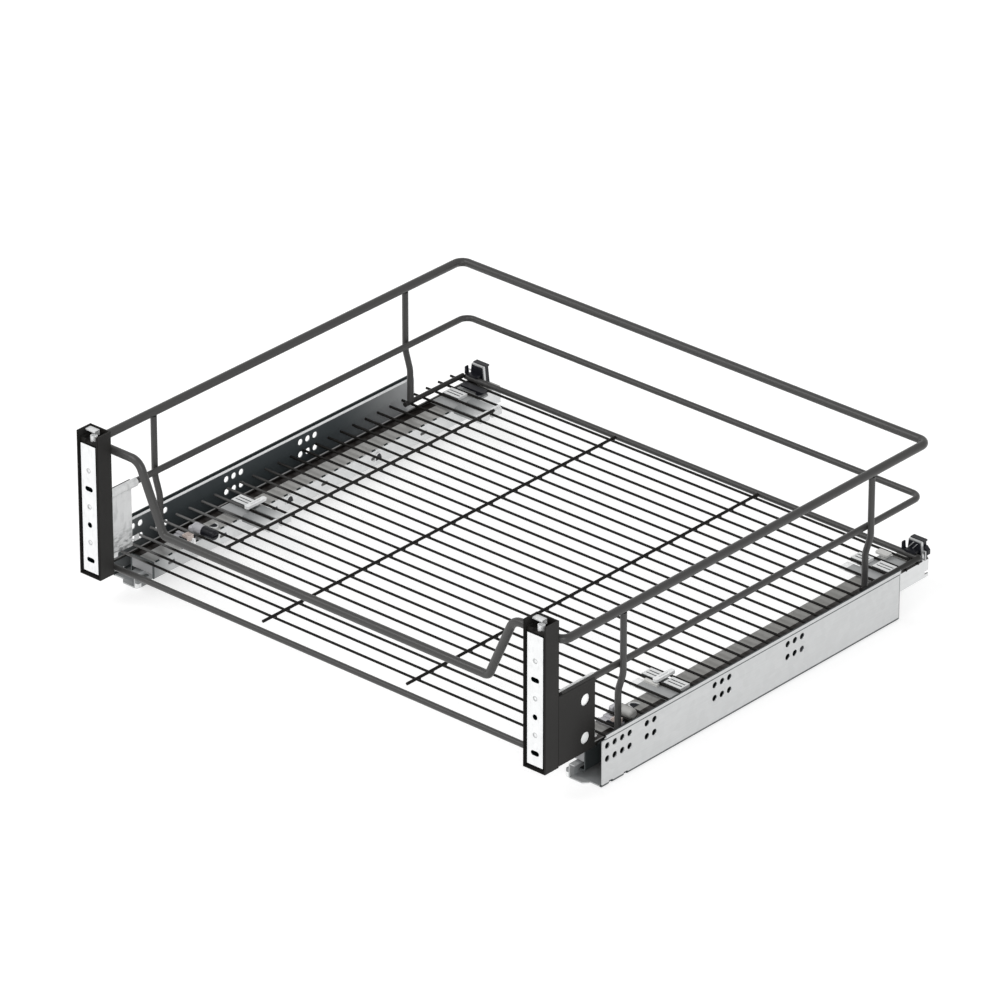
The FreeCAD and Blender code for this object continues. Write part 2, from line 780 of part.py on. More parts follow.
# The knob points to the right on both sides: off the left profile, and across the right one's top
save("front_coupling_right", [front_coupling(coupling_inner_x, right_knob_x - slide_gap)])
save("front_coupling_left", [mirrored(front_coupling(boss_outer_x, boss_inner_x))])
save("release_trigger_right", [release_trigger(coupling_outer_x - trigger_length)])
save("release_trigger_left", [mirrored(release_trigger(coupling_inner_x))])
save("height_wheel_right", [height_wheel(right_knob_x, 1, coupling_inner_x)])
save("height_wheel_left", [mirrored(height_wheel(coupling_inner_x, -1, ear_outer_x))])

# Basket clips' places, in the two bays beside one floor wire
clip_outer_x = carrier_x - carrier_wire / 2 - clip_side_gap
clip_top_z = cross_bottom_z - clip_wire_gap
clip_arm_width = cross_pitch - cross_wire - 2 * bay_gap
lock_x = member_inner_x + lock_inset


# Raised plate with grooves across it
def ribbed_plate(x0, x1, y0):
    plate = block(x0, x1, y0, y0 + clip_arm_width, seat_z, cross_top_z)
    grooves = []
    for i in range(clip_groove_count):
        y = y0 + clip_arm_width * (i + 1) / (clip_groove_count + 1)
        grooves.append(block(x0 + clip_groove_end, x1 - clip_groove_end, y - clip_groove_width / 2,
                             y + clip_groove_width / 2, clip_top_z + clip_groove_floor, cross_top_z + past))
    return plate.cut(grooves)


# Arm with a hollow, open end and a claw that holds the rod
def hollow_arm(y0, y1):
    claw_x = rod_x + rod_wire / 2 + clip_claw_gap + clip_claw_wall
    x0, x1 = claw_x + arm_rod_gap, lock_x - lock_post + arm_wall
    z0, z1 = seat_z - arm_drop, cross_top_z - arm_top_gap
    tube = block(x0, x1, y0, y1, z0, z1)
    top_edges = [edge for edge in edges_along(tube, (1, 0, 0)) if edge.BoundBox.ZMax > (z0 + z1) / 2]
    tube = tube.makeFillet(arm_round, top_edges)
    hollow = block(x0 - past, x1 - arm_wall, y0 + arm_wall, y1 - arm_wall, z0 + arm_wall, z1 - arm_wall)
    tongue = block(rod_x, x0 + arm_wall, y0, y1, z0, z0 + arm_wall)
    claw = block(rod_x, claw_x, y0, y1, z0, rod_z + clip_claw_rise)
    bore = rod(rod_wire + 2 * clip_claw_gap, (rod_x, y0 - past, rod_z), (rod_x, y1 + past, rod_z))
    return tube.cut(hollow).fuse([tongue, claw]).cut(bore).removeSplitter()


# Clip on the drawer profile with the lock's socket; an armed one reaches a rod, a short one has two plates
def basket_clip(index, lock_bay, armed):
    inner_x = lock_x - lock_post if armed else lock_x - clip_short_reach
    lock_y = cross_y(index + lock_bay)
    pieces = [block(lock_x - lock_post, clip_outer_x, cross_y(index - 0.5), lock_y + lock_post,
                    seat_z, clip_top_z)]
    for bay in (-0.5, 0.5):
        y0 = cross_y(index + bay) - clip_arm_width / 2
        y1 = y0 + clip_arm_width
        pieces.append(block(inner_x, clip_outer_x, y0, y1, seat_z, clip_top_z))
        if armed:
            pieces.append(hollow_arm(y0, y1))
    plate_y = cross_y(index + 0.5) - clip_arm_width / 2
    pieces.append(ribbed_plate(clip_outer_x - clip_plate_length, clip_outer_x, plate_y))
    if not armed:
        pieces.append(ribbed_plate(inner_x, lock_x - lock_post / 2 - clip_side_gap, plate_y))
    socket = rod(lock_post + 2 * lock_fit, (lock_x, lock_y, seat_z - past), (lock_x, lock_y, cross_top_z))
    return pieces[0].fuse(pieces[1:]).cut(socket).removeSplitter()


# Lock that turns over the floor wires: a T-shaped bar in front, a flat one across at the rear
def clip_lock(wires, inner_reach, outer_reach, y_size, height, grooved):
    y = cross_y(wires)
    bar_z = cross_top_z + lock_lift
    top_z = bar_z + height
    bar = block(lock_x - inner_reach, lock_x + outer_reach, y - y_size / 2, y + y_size / 2, bar_z, top_z)
    bar = rounded(bar, lock_bar_round, (0, 0, 1))
    if grooved:
        bar = bar.cut(block(lock_x - lock_groove_width / 2, lock_x + lock_groove_width / 2,
                            y - lock_groove_length / 2, y + lock_groove_length / 2,
                            top_z - lock_groove_depth, top_z + past))
    post = rod(lock_post, (lock_x, y, seat_z), (lock_x, y, bar_z + height / 2))
    return bar.fuse(post).removeSplitter()


for place, wires, lock_bay in (("front", front_clip_wire_count, 0.5), ("rear", rear_clip_wire_count, 1.5)):
    save(place + "_clip_right", [basket_clip(wires, lock_bay, False)])
    save(place + "_clip_left", [mirrored(basket_clip(wires, lock_bay, True))])
save_pair("front_lock", clip_lock(front_clip_wire_count + 0.5, lock_bar_width / 2, lock_bar_width / 2,
                                  lock_bar_length, lock_bar_height, True))
save("rear_lock_right", [clip_lock(rear_clip_wire_count + 1.5, rear_bar_inner_reach, rear_bar_short_reach,
                                   rear_bar_width, rear_bar_height, False)])
save("rear_lock_left", [mirrored(clip_lock(rear_clip_wire_count + 1.5, rear_bar_inner_reach,
                                           rear_bar_outer_reach, rear_bar_width, rear_bar_height, False))])

# Rear hook's places
hook_x = (hook_inner_x + hook_outer_x) / 2
frame_y0 = hook_front_y + frame_front_gap
frame_y1 = frame_y0 + frame_depth


def hook_wedge(margin, y0, y1):
    # The hook's tapered body, made larger by a margin on its sides and top.
    base, top = hook_width / 2 + margin, hook_top_width / 2 + margin
    top_z = hook_top_z + margin
    corners = [(hook_x - base, y0, seat_z), (hook_x + base, y0, seat_z),
               (hook_x + top, y0, top_z), (hook_x - top, y0, top_z)]
    return prism(corners, (0, y1 - y0, 0))


# Hook that holds the back wire down on the drawer profile's rear end
def rear_hook():
    body = hook_wedge(0, hook_front_y, hook_rear_y)
    lip_z = low_wire_z + low_wire / 2 + slide_gap
    lip = block(hook_x - hook_lip_width / 2, hook_x + hook_lip_width / 2, hook_front_y - hook_lip_reach,
                hook_front_y + hook_depth / 2, lip_z, lip_z + hook_lip_thickness)
    cap_reach = hook_top_width / 2 + hook_cap_overhang
    cap = block(hook_x - cap_reach, hook_x + cap_reach, frame_y1 + slide_gap, hook_rear_y,
                hook_top_z, hook_top_z + hook_cap_height)
    return body.fuse([lip, cap]).removeSplitter()


# Sheet strap over the hook, with a small loop on its outer side
def hook_frame():
    strap = hook_wedge(frame_sheet, frame_y0, frame_y1)
    loop_x1 = hook_outer_x + loop_reach
    loop_z0, loop_z1 = seat_z + loop_rise, seat_z + loop_rise + loop_height
    loop = block(hook_x, loop_x1, frame_y0, frame_y0 + frame_sheet, loop_z0, loop_z1)
    window = block(hook_x, loop_x1 - frame_sheet, frame_y0 - past, frame_y1 + past,
                   loop_z0 + frame_sheet, loop_z1 - frame_sheet)
    return strap.fuse(loop.cut(window)).cut(hook_wedge(0, hook_front_y, hook_rear_y)).removeSplitter()


save_pair("rear_hook", rear_hook())
save_pair("hook_frame", hook_frame())


# Front bracket: a channel open to the front panel, whose outer side runs back as a pierced gusset
def bracket():
    z0, z1 = bracket_bottom_z, bracket_top_z
    shell = block(bracket_inner_x, bracket_outer_x, 0, bracket_depth, z0, z1)
    hollow = block(bracket_inner_x + sheet, gusset_inner_x, -past, bracket_depth - sheet,
                   z0 + sheet, z1 + past)
    gusset = block(gusset_inner_x, bracket_outer_x, 0, gusset_rear_y, gusset_bottom_z,
                   gusset_bottom_z + gusset_height)
    hole_y = gusset_rear_y - gusset_hole_setback
    holes = [rod(gusset_hole, (gusset_inner_x - past, hole_y, gusset_bottom_z + rise),
                 (bracket_outer_x + past, hole_y, gusset_bottom_z + rise)) for rise in gusset_hole_rises]
    return shell.cut(hollow).fuse(gusset).cut(holes).removeSplitter()


# Zinc channel inside the bracket, whose front takes the panel's screws
clamp_x0 = bracket_inner_x + sheet + strip_side_gap
clamp_x1 = gusset_inner_x - strip_side_gap
clamp_y0 = strip_inset + strip_sheet
clamp_y1 = bracket_depth - sheet - strip_side_gap
clamp_x = (clamp_x0 + clamp_x1) / 2
clamp_y = (clamp_y0 + clamp_y1) / 2


def fixing_strip():
    z0 = bracket_bottom_z + sheet + strip_bottom_gap
    x0, x1 = clamp_x0 + strip_margin, clamp_x1 - strip_margin
    strip = block(x0, x1, strip_inset, clamp_y1, z0, strip_top_z)
    cutters = [block(x0 + strip_sheet, x1 - strip_sheet, clamp_y0, clamp_y1 + past,
                     z0 - past, strip_top_z + past)]
    for rise in strip_slot_rises:
        cutters.append(oblong(strip_slot_length, strip_slot_width, 2 * strip_sheet + past,
                              (clamp_x, strip_inset + strip_sheet / 2, bracket_bottom_z + rise),
                              (1, 0, 0), (0, 1, 0)))
    pierced = [(strip_hole, strip_hole_rise, strip_sheet + past)]
    pierced += [(strip_dimple, rise, strip_dimple_depth) for rise in strip_dimple_rises]
    for diameter, rise, depth in pierced:
        z = bracket_bottom_z + rise
        cutters.append(rod(diameter, (clamp_x, strip_inset - past, z), (clamp_x, strip_inset + depth, z)))
    return strip.cut(cutters)


# Plate behind the gusset whose top edge is rolled round the mid rail's end
def hanger_plate():
    bore = mid_rail_wire / 2 + sleeve_gap
    outer = bore + hanger_sheet
    x, z, y0, y1 = mid_rail_half_width, mid_rail_z, hanger_front_y, gusset_rear_y + sleeve_overhang
    plate = block(hanger_inner_x, gusset_inner_x, y0, gusset_rear_y, gusset_bottom_z + hanger_rise, z - bore)
    ledge = block(x, gusset_inner_x, y0, gusset_rear_y, z - outer, z - bore)
    sleeve = rod(2 * outer, (x, y0, z), (x, y1, z)).cut([
        rod(2 * bore, (x, y0 - past, z), (x, y1 + past, z)),
        block(x, x + outer + past, y0 - past, y1 + past, z - outer - past, z + outer + past)])
    return plate.fuse([ledge, sleeve]).removeSplitter()


# Clamp on top of the fixing strip, with the screw that sets the panel's height
def top_clamp():
    floor_z = strip_top_z + clamp_sheet
    top_z = strip_top_z + clamp_height
    body = block(clamp_x0, clamp_x1, clamp_y0, clamp_y1, strip_top_z, top_z)
    inside = block(clamp_x0 + clamp_sheet, clamp_x1 - clamp_sheet, clamp_y0 + clamp_sheet,
                   clamp_y1 - clamp_sheet, floor_z, top_z + past)
    mouth = block(clamp_x - clamp_mouth / 2, clamp_x + clamp_mouth / 2, clamp_y0 - past,
                  clamp_y0 + clamp_sheet + past, floor_z, top_z + past)
    hole = rod(adjust_screw + 2 * adjust_hole_gap, (clamp_x, clamp_y, strip_top_z - past),
               (clamp_x, clamp_y, floor_z + past))
    return body.cut([inside, mouth, hole])


def adjusting_screw():
    seat = strip_top_z + clamp_sheet + weld_gap
    top_z = seat + adjust_head_height
    head = rod(adjust_head, (clamp_x, clamp_y, seat), (clamp_x, clamp_y, top_z))
    shank = rod(adjust_screw, (clamp_x, clamp_y, seat - adjust_screw_length),
                (clamp_x, clamp_y, seat + adjust_head_height - adjust_socket_depth))
    corner = adjust_socket / math.sqrt(3)
    angles = [math.pi * i / 3 for i in range(6)]
    hexagon = [(clamp_x + corner * math.cos(angle), clamp_y + corner * math.sin(angle), top_z)
               for angle in angles]
    return head.fuse(shank).cut(prism(hexagon, (0, 0, -adjust_socket_depth))).removeSplitter()


save_pair("bracket", bracket())
save_pair("fixing_strip", fixing_strip())
save_pair("hanger_plate", hanger_plate())
save_pair("top_clamp", top_clamp())
save_pair("adjusting_screw", adjusting_screw())
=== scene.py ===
import json
import math

import bmesh
import bpy
from mathutils import Matrix, Vector


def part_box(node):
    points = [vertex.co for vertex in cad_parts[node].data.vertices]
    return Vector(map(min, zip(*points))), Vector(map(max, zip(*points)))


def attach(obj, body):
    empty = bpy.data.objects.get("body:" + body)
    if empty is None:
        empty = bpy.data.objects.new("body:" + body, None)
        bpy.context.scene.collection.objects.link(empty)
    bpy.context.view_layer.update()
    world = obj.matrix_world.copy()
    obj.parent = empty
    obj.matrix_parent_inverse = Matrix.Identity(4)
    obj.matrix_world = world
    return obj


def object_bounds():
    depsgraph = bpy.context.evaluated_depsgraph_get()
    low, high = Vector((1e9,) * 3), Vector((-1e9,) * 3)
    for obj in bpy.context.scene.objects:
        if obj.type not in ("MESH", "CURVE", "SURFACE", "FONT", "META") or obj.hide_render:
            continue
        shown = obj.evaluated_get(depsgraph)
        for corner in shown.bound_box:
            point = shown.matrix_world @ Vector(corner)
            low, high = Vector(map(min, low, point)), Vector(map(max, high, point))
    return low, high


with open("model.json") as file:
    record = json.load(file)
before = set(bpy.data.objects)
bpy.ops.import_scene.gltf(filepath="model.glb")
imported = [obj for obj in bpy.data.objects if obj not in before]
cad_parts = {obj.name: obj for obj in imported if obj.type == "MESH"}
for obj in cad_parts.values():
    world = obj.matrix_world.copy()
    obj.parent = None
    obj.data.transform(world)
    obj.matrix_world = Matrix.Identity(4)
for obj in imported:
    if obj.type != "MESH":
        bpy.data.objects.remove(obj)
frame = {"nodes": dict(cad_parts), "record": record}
cadLow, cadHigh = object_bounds()
nodes = frame["nodes"]
print("frame loaded,", len(nodes), "nodes")


class Link:      # one socket; arithmetic on it adds Math nodes
    def __init__(self, tree, socket):
        self.tree = tree
        self.socket = socket

    def maths(self, operation, first, second):
        made = self.tree.nodes.new("ShaderNodeMath")
        made.operation = operation
        for place, term in zip(made.inputs, (first, second)):
            if isinstance(term, Link):
                self.tree.links.new(term.socket, place)
            else:
                place.default_value = term
        return Link(self.tree, made.outputs[0])

    def __add__(self, other):
        return self.maths("ADD", self, other)

    def __radd__(self, other):
        return self.maths("ADD", other, self)

    def __sub__(self, other):
        return self.maths("SUBTRACT", self, other)

    def __rsub__(self, other):
        return self.maths("SUBTRACT", other, self)

    def __mul__(self, other):
        return self.maths("MULTIPLY", self, other)

    def __rmul__(self, other):
        return self.maths("MULTIPLY", other, self)

    def __gt__(self, other):
        return self.maths("GREATER_THAN", self, other)

    def __lt__(self, other):
        return self.maths("LESS_THAN", self, other)


class Finish:      # a material on the main shader, or the world round it
    def __init__(self, name, shader="Principled BSDF", **constants):
        group = bpy.data.materials if shader == "Principled BSDF" else bpy.data.worlds
        self.material = group.new(name)
        self.material.use_nodes = True
        self.tree = self.material.node_tree
        self.shader = self.tree.nodes[shader]
        for words, value in constants.items():
            self.shader.inputs[words.replace("_", " ")].default_value = value

    def node(self, kind, settings, sockets, output=0):
        made = self.tree.nodes.new(kind)
        for name, value in settings.items():
            setattr(made, name, value)
        for name, value in sockets.items():
            place = self.socket(made.inputs, name)
            if isinstance(value, Link):
                self.tree.links.new(value.socket, place)
            else:
                place.default_value = value
        return Link(self.tree, self.socket(made.outputs, output))

    def socket(self, sockets, name):      # by name, number or identifier
        if isinstance(name, int) or name in sockets:
            return sockets[name]
        return next(found for found in sockets if found.identifier == name)

    def feed(self, socket, link):
        self.tree.links.new(link.socket, self.shader.inputs[socket])

    def place(self, stretch=(1, 1, 1)):      # metres in the piece's own frame
        spot = self.node("ShaderNodeTexCoord", {}, {}, "Object")
        return self.node("ShaderNodeMapping", {}, {"Vector": spot, "Scale": stretch})

    def axis(self, letter, kind="Object"):      # one coordinate, or one part of the normal
        spot = self.node("ShaderNodeTexCoord", {}, {}, kind)
        return self.node("ShaderNodeSeparateXYZ", {}, {"Vector": spot}, letter)

    def across(self):      # distance from the drawer's middle
        return self.node("ShaderNodeMath", {"operation": "ABSOLUTE"}, {0: self.axis("X")})

    def ramp(self, link, start, end):      # 0 at start, 1 at end
        return self.node("ShaderNodeMapRange", {"clamp": True},
                         {"Value": link, "From Min": start, "From Max": end}, "Result")

    def band(self, link, start, end):      # 1 between start and end
        return (link > start) * (link < end)

    def noise(self, size, stretch=(1, 1, 1), detail=2.0):      # size of a blotch in metres
        return self.node("ShaderNodeTexNoise", {}, {"Vector": self.place(stretch), "Scale": 1 / size,
                                                    "Detail": detail}, "Fac")

    def blend(self, factor, first, second):      # two colours, or colour links
        return self.node("ShaderNodeMix", {"data_type": "RGBA"},
                         {"Factor_Float": factor, "A_Color": first, "B_Color": second}, "Result_Color")

    def bump(self, height, strength, depth):
        self.feed("Normal", self.node("ShaderNodeBump", {}, {"Height": height, "Strength": strength,
                                                             "Distance": depth}))


def rgba(tone, shift=(0, 0, 0)):
    return tuple(max(tone + s, 0) for s in shift) + (1,)


coatSettings = {"grain": 0.00045, "grainDepth": 0.00006, "grainBump": 0.35, "cloud": 0.03, "cloudShare": 0.6,
                "roughSwing": 0.12, "warm": (0.0015, 0.0008, 0)}


class Coat(Finish):      # powder coat: fine grain over slow clouds
    def __init__(self, name, dark, light, gloss=0.5):
        super().__init__(name, Specular_IOR_Level=gloss)
        self.grain = self.noise(coatSettings["grain"], detail=3)
        cloud, share = self.noise(coatSettings["cloud"]), coatSettings["cloudShare"]
        self.colour = self.blend(cloud * share + self.grain * (1 - share), rgba(dark, coatSettings["warm"]),
                                 rgba(light, coatSettings["warm"]))

    def shade(self, share, tone):
        self.colour = self.blend(share, self.colour, rgba(tone, coatSettings["warm"]))

    def done(self, rough):
        self.feed("Base Color", self.colour)
        self.feed("Roughness", rough + coatSettings["roughSwing"] * self.grain)
        self.bump(self.grain, coatSettings["grainBump"], coatSettings["grainDepth"])
        return self.material


def powderCoat(name, dark, light, rough=0.40, gloss=0.5):
    return Coat(name, dark, light, gloss).done(rough)


tipSettings = {"left": -0.2325, "fade": 0.012, "tone": 0.14, "highlightFront": -0.13, "highlightRear": 0.02}


def floorWire():      # thin black coat, with a painted highlight: paler at the ends over the left slide, fading towards the rear
    s = tipSettings
    made = Coat("floorWireCoat", 0.003, 0.006, gloss=0.15)
    # painted highlight on the wire ends over the left slide, fading out towards the rear
    tip = made.ramp(made.axis("X"), s["left"], s["left"] - s["fade"])
    highlightFade = made.ramp(made.axis("Y"), s["highlightRear"], s["highlightFront"])
    made.shade(tip * highlightFade, s["tone"])
    return made.done(0.5)


carrierSettings = {"highlightStart": 0.70, "highlightFull": 0.95, "highlightAndMottleTone": 0.22}


def carrierWire():      # dark, with a painted highlight line along the top
    s = carrierSettings
    made = Coat("carrierWireCoat", 0.004, 0.010, gloss=0.2)
    # painted highlight on the up-facing top of the wire
    made.shade(made.ramp(made.axis("Z", "Normal"), s["highlightStart"], s["highlightFull"]), s["highlightAndMottleTone"])
    return made.done(0.45)


bracketSettings = {"side": 0.2671, "fold": -0.2388, "seam": 0.0005, "rim": -0.2548, "facing": -0.7,
                   "foldTone": 0.003, "rimTone": 0.004, "facingTone": 0.002}


def bracketCoat():      # black coat, with painted shade: a dark line in the fold of the channel, a darker front rim, and darker faces that face the front
    s = bracketSettings
    made = Coat("bracketCoat", 0.013, 0.021, gloss=0.18)
    y = made.axis("Y")
    fold = made.band(y, s["fold"] - s["seam"], s["fold"] + s["seam"])
    # painted shade in the fold, on the front rim and on the faces that face the front, so the slots look dark inside
    made.shade(fold * (made.across() > s["side"]), s["foldTone"])
    made.shade(y < s["rim"], s["rimTone"])
    made.shade(made.axis("Y", "Normal") < s["facing"], s["facingTone"])
    return made.done(0.5)


zincSettings = {"spangle": 0.006, "streak": 0.0012, "run": 0.05, "streakShare": 0.7, "streakBump": 0.12,
                "streakDepth": 0.00003, "rough": 0.30, "roughSwing": 0.16, "cool": (-0.006, 0.002, 0.004)}


class Zinc(Finish):      # zinc-plated sheet, streaked along the rolling direction
    def __init__(self, name, dark, light, along=1, metal=0.55):
        super().__init__(name, Metallic=metal)
        s = zincSettings
        stretch = [1.0, 1.0, 1.0]
        stretch[along] = s["streak"] / s["run"]
        self.streak = self.noise(s["streak"], stretch, 4)
        spangle = self.node("ShaderNodeTexVoronoi", {}, {"Vector": self.place(), "Scale": 1 / s["spangle"]}, "Color")
        fleck = self.node("ShaderNodeSeparateColor", {}, {"Color": spangle})
        self.mix = self.streak * s["streakShare"] + fleck * (1 - s["streakShare"])
        self.colour = self.blend(self.mix, rgba(dark, s["cool"]), rgba(light, s["cool"]))

    def shade(self, share, tone, shift=zincSettings["cool"]):      # a part of the sheet in another tone
        self.colour = self.blend(share, self.colour, rgba(tone, shift))

    def done(self):
        self.feed("Base Color", self.colour)
        self.feed("Roughness", zincSettings["rough"] + zincSettings["roughSwing"] * self.mix)
        self.bump(self.streak, zincSettings["streakBump"], zincSettings["streakDepth"])
        return self.material


def zinc(name, dark, light, along=1, metal=0.55):
    return Zinc(name, dark, light, along, metal).done()


channelSettings = {"web": 0.055, "warm": (0.006, 0.0, -0.004), "channelShade": 0.085, "channelShadeShift": (-0.0125, 0.0, 0.006),
                   "inside": 0.2503, "plateInside": 0.2806, "plate": 0.2822, "plateFront": -0.2004,
                   "plateRear": 0.1905, "frontFade": 0.045, "webFront": 0.34, "glowStart": 0.075, "glow": 0.72,
                   "paleFront": -0.135, "paleShare": 0.6, "tongue": 0.40, "hemLow": 0.0446, "hemHigh": 0.0464,
                   "hemTop": 0.0489, "hemInside": 0.2831, "slopeTone": 0.86, "stepTone": 0.10, "hemTone": 0.02,
                   "topTone": 0.03, "line": 0.0008, "foot": 0.0024, "footTone": 0.05, "endTone": 0.20}


def slideChannel():      # the cabinet profile: pale outside, with painted shade within its channel, lightened by painted light towards the front and the rear end; mid grey in front of the plate; a painted highlight on the hem's slope and painted shade lines along the hem, the foot and the rear edge
    s = channelSettings
    made = Zinc("slideChannel", 0.50, 0.60, metal=0.25)
    x, y, z = made.across(), made.axis("Y"), made.axis("Z")
    low = z < s["hemLow"]
    inside = made.band(x, s["inside"], s["plate"]) * low
    # painted shade inside the channel, eased by painted light towards the front
    made.shade(inside, s["web"], s["warm"])
    front = made.ramp(y, s["plateFront"] + s["frontFade"], s["plateFront"])
    made.shade(inside * front, s["webFront"], s["channelShadeShift"])
    rear = made.ramp(y, s["glowStart"], s["plateRear"])
    # painted shade on the plate's inner face, with painted light towards its rear end and towards its front
    channelShade = made.band(x, s["plateInside"], s["plate"]) * low
    made.shade(channelShade, s["channelShade"], s["channelShadeShift"])
    made.shade(channelShade * rear * rear, s["glow"], s["channelShadeShift"])
    pale = made.ramp(y, s["paleFront"], s["plateFront"])
    made.shade(channelShade * pale * s["paleShare"], s["webFront"], s["channelShadeShift"])
    made.shade((y < s["plateFront"]) * (x < s["plate"]), s["tongue"])
    # painted highlight on the hem's inner slope; painted shade under the hem outside, on the hem's inner face and
    # along its top
    slope = made.band(z, s["hemLow"], s["hemHigh"])
    made.shade(slope * (x < s["plate"] + s["line"]), s["slopeTone"])
    step = made.band(z, s["hemLow"] - s["line"], s["hemLow"] + s["line"])
    made.shade(step * (x > s["plate"] + s["line"] / 2), s["stepTone"])
    made.shade((z > s["hemHigh"]) * (x < s["hemInside"]), s["hemTone"])
    made.shade(z > s["hemTop"], s["topTone"])
    # painted shade lines along the foot and at the rear edge
    made.shade((x > s["plate"] - s["foot"]) * (z < s["foot"]), s["footTone"])
    made.shade((x > s["plate"]) * (y > s["plateRear"] - s["line"]), s["endTone"])
    return made.done()


memberSettings = {"front": -0.205, "lit": -0.105, "dimShare": 0.75, "dimTone": 0.30, "frontRear": -0.178,
                  "frontShare": 0.6, "frontTone": 0.10, "facing": 0.7, "strip": 0.45, "stripDim": 0.55,
                  "stripShift": (0.008, 0.004, -0.010), "stripRight": 0.27, "rightShare": 0.6, "inside": 0.2362,
                  "bend": 0.0266, "pitch": 0.01637, "first": -0.20685, "wireShadowShare": 0.30, "wireShadowTone": 0.03,
                  "edge": 0.2525, "edgeFacing": 0.3, "dark": 0.014, "darkShift": (0.004, 0.0, -0.002),
                  "outside": 0.2615, "outsideTone": 0.05, "plateRear": 0.2090, "mouth": -0.1974, "mouthTone": 0.06}


def drawerMember():      # the drawer profile: pale inner wall; painted shade makes the top grey, the outer half and the outer side within the channel dark, the front darker, and dashes under the cross wires
    s = memberSettings
    made = Zinc("drawerMember", 0.64, 0.76)
    x, y, z, up = made.across(), made.axis("Y"), made.axis("Z"), made.axis("Z", "Normal")
    dim = 1 - made.ramp(y, s["front"], s["lit"])
    # painted shade towards the front, deepest at the front end
    made.shade(dim * s["dimShare"], s["dimTone"])
    made.shade(made.ramp(y, s["frontRear"], s["mouth"]) * s["frontShare"], s["frontTone"])
    top = up > s["facing"]
    # painted shade on the top faces, tinted beige and deeper on the right profile
    made.shade(top * (1 - dim * s["stripDim"]), s["strip"], s["stripShift"])
    made.shade(top * (made.axis("X") > 0) * s["rightShare"], s["stripRight"], s["stripShift"])
    # painted shadows of the cross wires, as dashes along the bend
    bay = made.node("ShaderNodeMath", {"operation": "FRACT"}, {0: (y - s["first"]) * (1 / s["pitch"])})
    made.shade((x < s["inside"]) * (z > s["bend"]) * (bay > 1 - s["wireShadowShare"]), s["wireShadowTone"])
    # painted shade on the top's outer part, on the outer side within the channel and at the front edge
    made.shade((x > s["edge"]) * (up > s["edgeFacing"]), s["dark"], s["darkShift"])
    made.shade((x > s["outside"]) * (y < s["plateRear"]), s["outsideTone"])
    made.shade(y < s["mouth"], s["mouthTone"])
    return made.done()


hangerSettings = {"mark": 0.006, "markStretch": (1, 1, 0.35), "markRange": (0.50, 0.72), "markShare": 0.6,
                  "markTone": 0.44, "footTop": 0.056, "footLow": 0.038, "mottle": 0.0030, "mottleStretch": (1, 0.45, 1.1),
                  "mottleRange": (0.44, 0.64), "mottleShare": 0.85, "highlightAndMottleTone": 0.14, "outside": 0.2658, "outsideTone": 0.97}


def hangerSheet():      # bright sheet with wandering marks, dark mottling towards its foot, and painted light on its outer face
    s = hangerSettings
    made = Zinc("hangerSheet", 0.66, 0.82, along=2, metal=0.15)
    wander = made.noise(s["mark"], s["markStretch"], 5)
    made.shade(made.ramp(wander, *s["markRange"]) * s["markShare"], s["markTone"])
    # dark mottling, denser towards the foot
    foot = made.ramp(made.axis("Z"), s["footTop"], s["footLow"])
    mottle = made.ramp(made.noise(s["mottle"], s["mottleStretch"], 5), *s["mottleRange"])
    made.shade(mottle * foot * s["mottleShare"], s["highlightAndMottleTone"])
    # painted light on the outer face, which lies in the gusset's shade
    made.shade(made.across() > s["outside"], s["outsideTone"])
    return made.done()


stripSettings = {"scuff": 0.004, "scuffStretch": (1, 1, 0.5), "scuffRange": (0.56, 0.74), "scuffShare": 0.35,
                 "scuffTone": 0.50, "face": -0.25445, "within": 0.006, "middle": 0.2555,
                 "dimples": (0.0626, 0.0972, 0.1324), "dimple": 0.0032}


def panelStrip():      # bright strip with faint scuffs, painted shade within its holes
    s = stripSettings
    made = Zinc("panelStrip", 0.70, 0.82, along=2, metal=0.15)
    scuff = made.noise(s["scuff"], s["scuffStretch"], 4)
    made.shade(made.ramp(scuff, *s["scuffRange"]) * s["scuffShare"], s["scuffTone"])
    # painted shade on every face behind the front face, so the holes look dark inside; the dimples keep their pale
    # tone
    z, pressed = made.axis("Z"), 0
    for rise in s["dimples"]:
        pressed = pressed + made.band(z, rise - s["dimple"], rise + s["dimple"])
    pressed = pressed * made.band(made.across(), s["middle"] - s["dimple"], s["middle"] + s["dimple"])
    made.shade((made.axis("Y") > s["face"]) * (1 - pressed), s["within"])
    return made.done()


plasticSettings = {"grain": 0.0006, "cloud": 0.012, "grainBump": 0.2, "grainDepth": 0.00004, "roughSwing": 0.1,
                   "gloss": 0.5, "darkGloss": 0.25, "darkBelow": 0.1}


def moulded(name, tone, shift=(0, 0, 0), rough=0.42, swing=0.06):
    s = plasticSettings
    made = Finish(name, Specular_IOR_Level=s["gloss"] if tone > s["darkBelow"] else s["darkGloss"])
    cloud = made.noise(s["cloud"])
    grain = made.noise(s["grain"], detail=2)
    made.feed("Base Color", made.blend(cloud, rgba(tone * (1 - swing), shift), rgba(tone * (1 + swing), shift)))
    made.feed("Roughness", rough - s["roughSwing"] / 2 + s["roughSwing"] * grain)
    made.bump(grain, s["grainBump"], s["grainDepth"])
    return made.material


clipSettings = {"seat": 0.0300, "seatTone": 0.34, "grooveLow": 0.0304, "grooveHigh": 0.0311, "top": 0.0323,
                "armStart": -0.2316, "claw": -0.2045, "armDark": 0.20, "armPale": 0.60, "clawTone": 0.70,
                "lip": 0.2235, "lipTone": 0.90, "facing": 0.7, "sideTone": 0.08, "grooveTone": 0.012}


